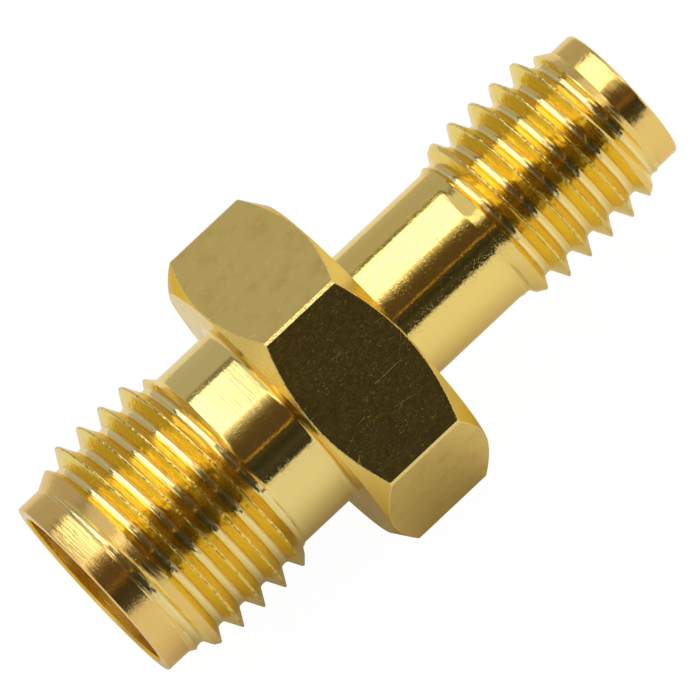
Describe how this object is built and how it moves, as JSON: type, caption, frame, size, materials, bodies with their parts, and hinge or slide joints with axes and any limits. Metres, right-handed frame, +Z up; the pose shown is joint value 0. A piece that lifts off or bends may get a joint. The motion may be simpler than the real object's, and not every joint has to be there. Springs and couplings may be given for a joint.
{
  "type": "coaxial adapter",
  "caption": "Gold plated straight coaxial adapter: a wrench hexagon between a large and a small externally threaded socket end, with insulated sprung centre contacts.",
  "frame": {"origin": "middle of the hexagon flat that the adapter lies on", "axes": "+X along the adapter's axis towards the small end, +Z up from the flat that it lies on"},
  "size_m": [0.0177, 0.0092, 0.008],
  "materials": {
    "gold_body": "polished gold plating with fine turning marks",
    "gold_contact": "gold plating, satin",
    "ptfe": "white, waxy"
  },
  "bodies": {
    "root": {"body": "gold_body", "large_insulator": "ptfe", "small_insulator": "ptfe", "centre_contact": "gold_contact"}
  },
  "joints": []
}
